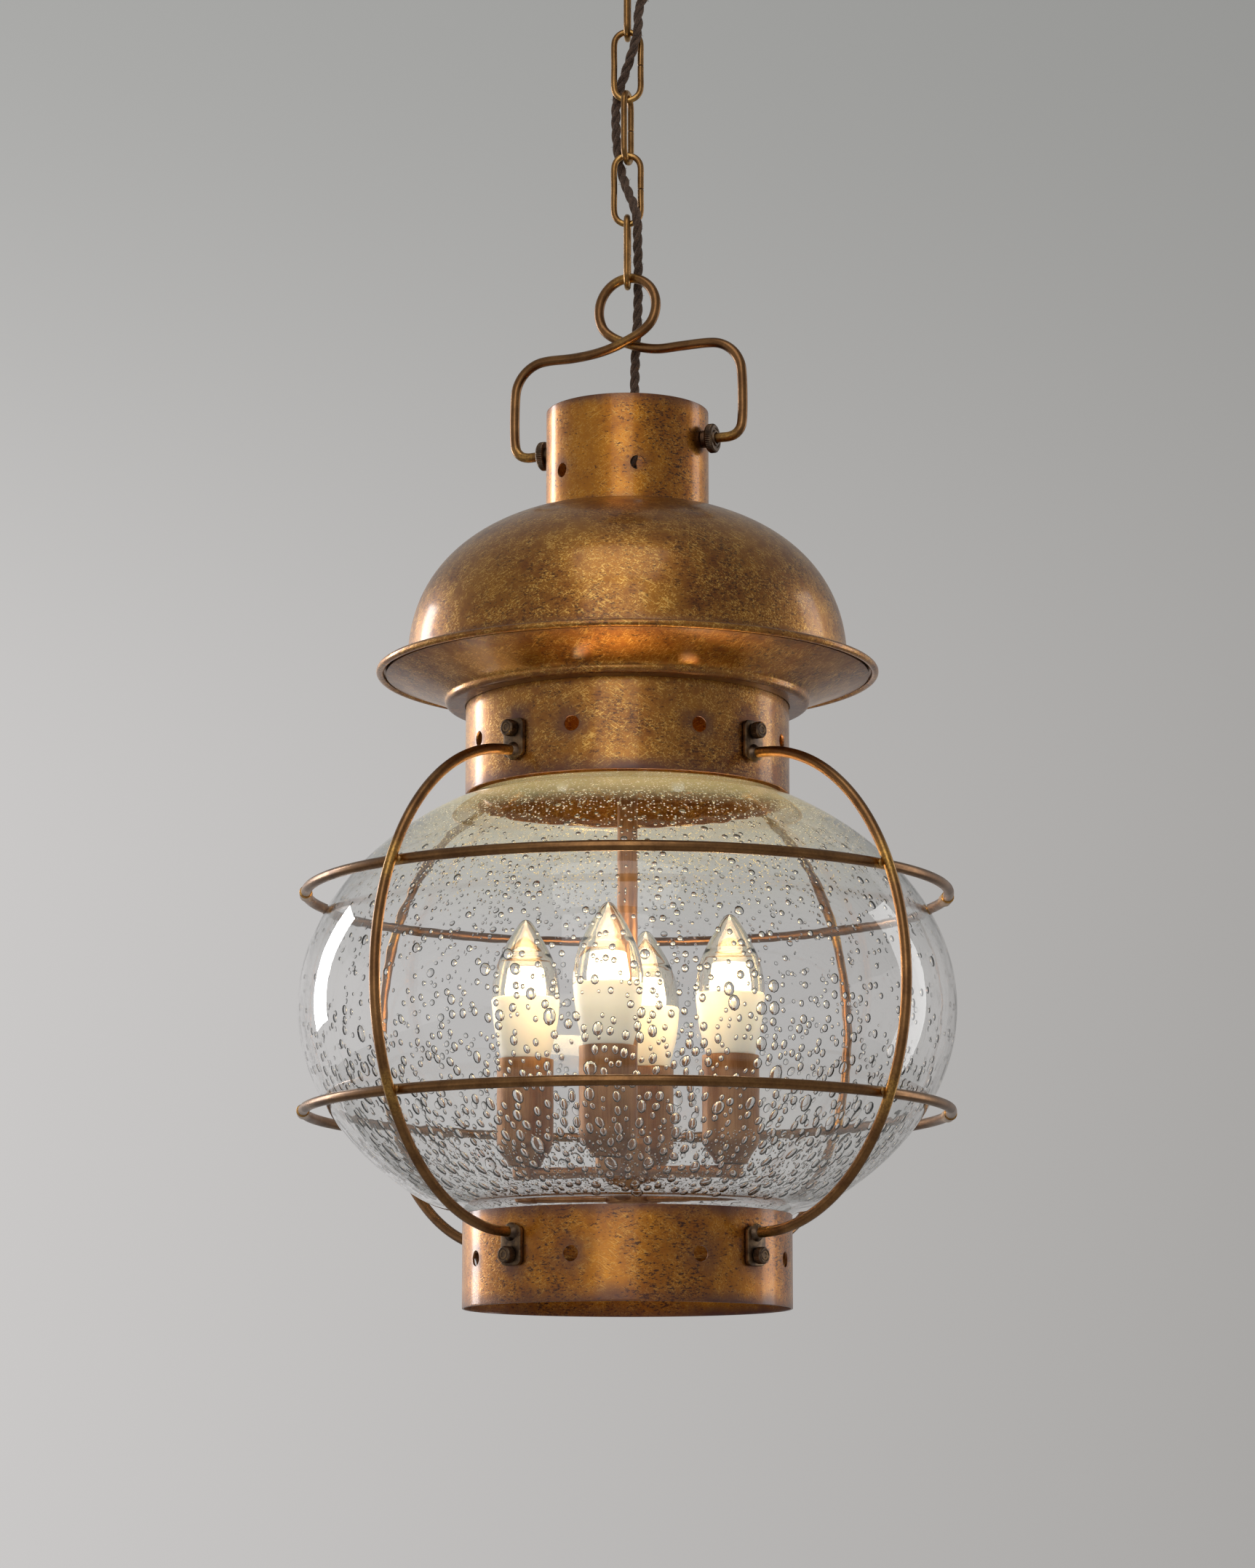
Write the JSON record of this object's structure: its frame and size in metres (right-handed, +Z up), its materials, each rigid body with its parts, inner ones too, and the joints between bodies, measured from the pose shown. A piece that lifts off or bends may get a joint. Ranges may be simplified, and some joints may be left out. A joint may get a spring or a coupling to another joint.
{
  "type": "hanging lantern",
  "caption": "Ship-style hanging lantern: domed brass body, seeded-glass globe in a wire guard, candle light cluster, bail, chain and cord.",
  "frame": {"origin": "middle of the ceiling face, on the flat top of the rose's strap", "axes": "+Z up, away from the lantern; -Y is the lantern's front, between two guard rods; +X to the right"},
  "size_m": [0.347, 0.3476, 0.7869],
  "materials": {
    "antique_brass": "aged and hand-toned, satin lacquer, mottled gold and brown",
    "wire_brass": "drawn wire, browned and rubbed back, satin",
    "satin_brass": "satin, lightly browned",
    "dark_bronze": "dark bronze patina, worn to brass on the edges",
    "plated_steel": "zinc plated",
    "seeded_glass": "blown, full of seeds and bubbles, faint green",
    "bulb_white": "matt white body with a clear, lit cover",
    "lamp_ceramic": "glazed",
    "braided_cord": "twisted three-strand, brown braid"
  },
  "bodies": {
    "ceiling": {"ceiling_rose": "antique_brass", "ceiling_strap": "plated_steel", "ceiling_hook": "wire_brass", "rose_cord_grip": "dark_bronze", "supply_cord": "braided_cord"},
    "link_1": {"chain_link_1": "wire_brass"},
    "links_2_to_4": {"chain_link_2": "wire_brass", "chain_link_3": "wire_brass", "chain_link_4": "wire_brass"},
    "link_5": {"chain_link_5": "wire_brass"},
    "bail": {"bail": "wire_brass"},
    "lantern": {"bail_nut_right": "dark_bronze", "bail_nut_left": "dark_bronze", "chimney": "antique_brass", "dome": "antique_brass", "canopy_pan": "antique_brass", "upper_collar": "antique_brass", "lower_collar": "antique_brass", "bridge_bar": "plated_steel", "globe_seat": "antique_brass", "glass_globe": "seeded_glass", "guard_rod_front_right": "wire_brass", "upper_lug_front_right": "dark_bronze", "lower_lug_front_right": "dark_bronze", "upper_screw_front_right": "dark_bronze", "lower_screw_front_right": "dark_bronze", "guard_rod_front_left": "wire_brass", "upper_lug_front_left": "dark_bronze", "lower_lug_front_left": "dark_bronze", "upper_screw_front_left": "dark_bronze", "lower_screw_front_left": "dark_bronze", "guard_rod_back_right": "wire_brass", "upper_lug_back_right": "dark_bronze", "lower_lug_back_right": "dark_bronze", "upper_screw_back_right": "dark_bronze", "lower_screw_back_right": "dark_bronze", "guard_rod_back_left": "wire_brass", "upper_lug_back_left": "dark_bronze", "lower_lug_back_left": "dark_bronze", "upper_screw_back_left": "dark_bronze", "lower_screw_back_left": "dark_bronze", "upper_ring_back": "wire_brass", "upper_ring_front": "wire_brass", "lower_ring_back": "wire_brass", "lower_ring_front": "wire_brass", "stem_tube": "satin_brass", "stem_gland_nut": "dark_bronze", "cluster_hub": "satin_brass", "candle_cover_right": "satin_brass", "lamp_holder_right": "lamp_ceramic", "led_bulb_right": "bulb_white", "candle_cover_back": "satin_brass", "lamp_holder_back": "lamp_ceramic", "led_bulb_back": "bulb_white", "candle_cover_left": "satin_brass", "lamp_holder_left": "lamp_ceramic", "led_bulb_left": "bulb_white", "candle_cover_front": "satin_brass", "lamp_holder_front": "lamp_ceramic", "led_bulb_front": "bulb_white"}
  },
  "joints": [
    {"name": "link_1_swing", "type": "hinge", "parent": "ceiling", "child": "link_1", "pos_m": [0, 0, -0.056], "axis": [1, 0, 0], "range_deg": [-20, 20], "deforming": ["supply_cord"]},
    {"name": "link_2_swing", "type": "hinge", "parent": "link_1", "child": "links_2_to_4", "pos_m": [0, 0, -0.0912], "axis": [0.1045, 0.9945, 0], "range_deg": [-20, 20], "deforming": ["supply_cord"]},
    {"name": "link_5_swing", "type": "hinge", "parent": "links_2_to_4", "child": "link_5", "pos_m": [0, 0, -0.1977], "axis": [0.9945, -0.1045, 0], "range_deg": [-20, 20], "deforming": ["supply_cord"]},
    {"name": "bail_swing", "type": "hinge", "parent": "link_5", "child": "bail", "pos_m": [0, 0, -0.2332], "axis": [0.1045, 0.9945, 0], "range_deg": [-20, 20], "deforming": ["supply_cord"]},
    {"name": "lantern_tilt", "type": "hinge", "parent": "bail", "child": "lantern", "pos_m": [0, 0, -0.3234], "axis": [0.8988, -0.4384, 0], "range_deg": [-90, 90], "deforming": ["supply_cord"]}
  ]
}
